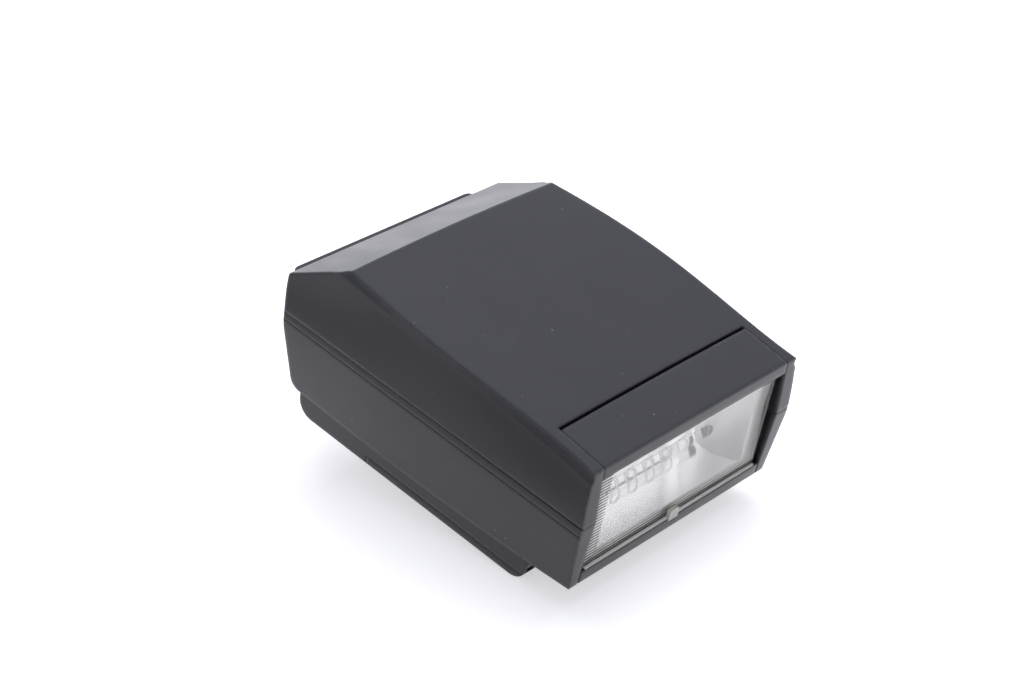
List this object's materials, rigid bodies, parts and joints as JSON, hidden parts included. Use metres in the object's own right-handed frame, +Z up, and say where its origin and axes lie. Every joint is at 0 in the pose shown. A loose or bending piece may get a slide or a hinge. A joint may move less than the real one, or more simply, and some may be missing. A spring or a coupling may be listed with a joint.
{
  "type": "speedlight flash",
  "caption": "Compact wedge-shaped shoe-mount flash with a sliding zoom head, grooved window, rear control panel and battery door.",
  "frame": {"origin": "middle of the shoe foot's underside", "axes": "the window looks along -Y, the control panel along +Y, +Z is up out of the shoe, X is across"},
  "size_m": [0.07, 0.0997, 0.06],
  "materials": {
    "housing_plastic": "fine matte moulded",
    "panel_plastic": "fine matte moulded",
    "inner_plastic": "plain moulded",
    "window_acrylic": "clear moulded",
    "mirror_metal": "polished",
    "tube_glass": "clear",
    "pin_metal": "bright",
    "seal_rubber": "matte",
    "contact_metal": "bright",
    "board": "lacquered",
    "capacitor_can": "sleeved",
    "winding": "varnished",
    "foot_metal": "satin",
    "gold_metal": "gilt",
    "wheel_plastic": "moulded",
    "screw_steel": "blackened",
    "display_glass": "glass",
    "key_rubber": "matte",
    "key_plastic": "matte",
    "lamp_red": "clear",
    "cell_jacket": "printed film"
  },
  "bodies": {
    "case": {"battery_box": "inner_plastic", "battery_contacts": "contact_metal", "battery_springs": "contact_metal", "board_screws": "screw_steel", "cell_1": "cell_jacket", "cell_2": "cell_jacket", "cell_3": "cell_jacket", "cell_4": "cell_jacket", "contact_block": "inner_plastic", "control_board": "board", "display": "display_glass", "display_connectors": "seal_rubber", "display_window": "window_acrylic", "foot_screws": "screw_steel", "head_detent": "contact_metal", "housing_screws": "screw_steel", "key_switches": "inner_plastic", "lower_housing": "housing_plastic", "main_board": "board", "main_capacitor": "capacitor_can", "panel_screws": "screw_steel", "power_transistor": "inner_plastic", "ready_lamp": "lamp_red", "ready_led": "lamp_red", "rear_panel": "panel_plastic", "shoe_foot": "foot_metal", "slide_switch": "inner_plastic", "top_cover": "housing_plastic", "transformer": "winding", "trigger_coil": "winding"},
    "head": {"head_frame": "housing_plastic", "lens_panel": "window_acrylic", "lens_clip": "window_acrylic", "reflector": "mirror_metal", "reflector_cheeks": "mirror_metal", "reflector_carrier": "inner_plastic", "flash_tube": "tube_glass", "tube_electrodes": "pin_metal", "tube_sleeves": "seal_rubber", "trigger_band": "pin_metal"},
    "door": {"battery_door": "housing_plastic"},
    "wheel": {"lock_wheel": "wheel_plastic"},
    "washer": {"lock_washer": "wheel_plastic"},
    "pin": {"lock_pin": "pin_metal"},
    "centre_pin": {"centre_contact": "gold_metal"},
    "data_pin_1": {"data_contact_1": "gold_metal"},
    "data_pin_2": {"data_contact_2": "gold_metal"},
    "data_pin_3": {"data_contact_3": "gold_metal"},
    "zoom_key": {"zoom_button": "key_rubber"},
    "level_key": {"level_button": "key_rubber"},
    "lamp_key": {"lamp_button": "key_rubber"},
    "test_key": {"test_button": "key_rubber"},
    "switch_knob": {"power_switch": "key_plastic"}
  },
  "joints": [
    {"name": "head_zoom", "type": "slide", "parent": "case", "child": "head", "axis": [0, -1, 0], "range_m": [0, 0.012]},
    {"name": "battery_door_slide", "type": "slide", "parent": "case", "child": "door", "axis": [0, -1, 0], "range_m": [0, 0.048]},
    {"name": "lock_wheel_turn", "type": "hinge", "parent": "case", "child": "wheel", "pos_m": [0, 0, 0.0073], "axis": [0, 0, 1], "range_deg": [0, 270]},
    {"name": "lock_washer_lower", "type": "slide", "parent": "case", "child": "washer", "axis": [0, 0, -1], "range_m": [0, 0.0012]},
    {"name": "lock_pin_lower", "type": "slide", "parent": "case", "child": "pin", "axis": [0, 0, -1], "range_m": [0, 0.0014]},
    {"name": "centre_pin_press", "type": "slide", "parent": "case", "child": "centre_pin", "axis": [0, 0, 1], "range_m": [0, 0.0004], "stiffness_N_per_m": 120},
    {"name": "data_pin_1_press", "type": "slide", "parent": "case", "child": "data_pin_1", "axis": [0, 0, 1], "range_m": [0, 0.0004], "stiffness_N_per_m": 120},
    {"name": "data_pin_2_press", "type": "slide", "parent": "case", "child": "data_pin_2", "axis": [0, 0, 1], "range_m": [0, 0.0004], "stiffness_N_per_m": 120},
    {"name": "data_pin_3_press", "type": "slide", "parent": "case", "child": "data_pin_3", "axis": [0, 0, 1], "range_m": [0, 0.0004], "stiffness_N_per_m": 120},
    {"name": "zoom_key_press", "type": "slide", "parent": "case", "child": "zoom_key", "axis": [0, -1, 0], "range_m": [0, 0.0008], "stiffness_N_per_m": 600},
    {"name": "level_key_press", "type": "slide", "parent": "case", "child": "level_key", "axis": [0, -1, 0], "range_m": [0, 0.0008], "stiffness_N_per_m": 600},
    {"name": "lamp_key_press", "type": "slide", "parent": "case", "child": "lamp_key", "axis": [0, -1, 0], "range_m": [0, 0.0008], "stiffness_N_per_m": 600},
    {"name": "test_key_press", "type": "slide", "parent": "case", "child": "test_key", "axis": [0, -1, 0], "range_m": [0, 0.0008], "stiffness_N_per_m": 600},
    {"name": "power_switch_slide", "type": "slide", "parent": "case", "child": "switch_knob", "axis": [1, 0, 0], "range_m": [0, 0.005]}
  ],
  "couplings": [
    {"joint": "lock_washer_lower", "follows": "lock_wheel_turn", "m_per_rad": 0.00025439},
    {"joint": "lock_pin_lower", "follows": "lock_wheel_turn", "m_per_rad": 0.00029679}
  ]
}
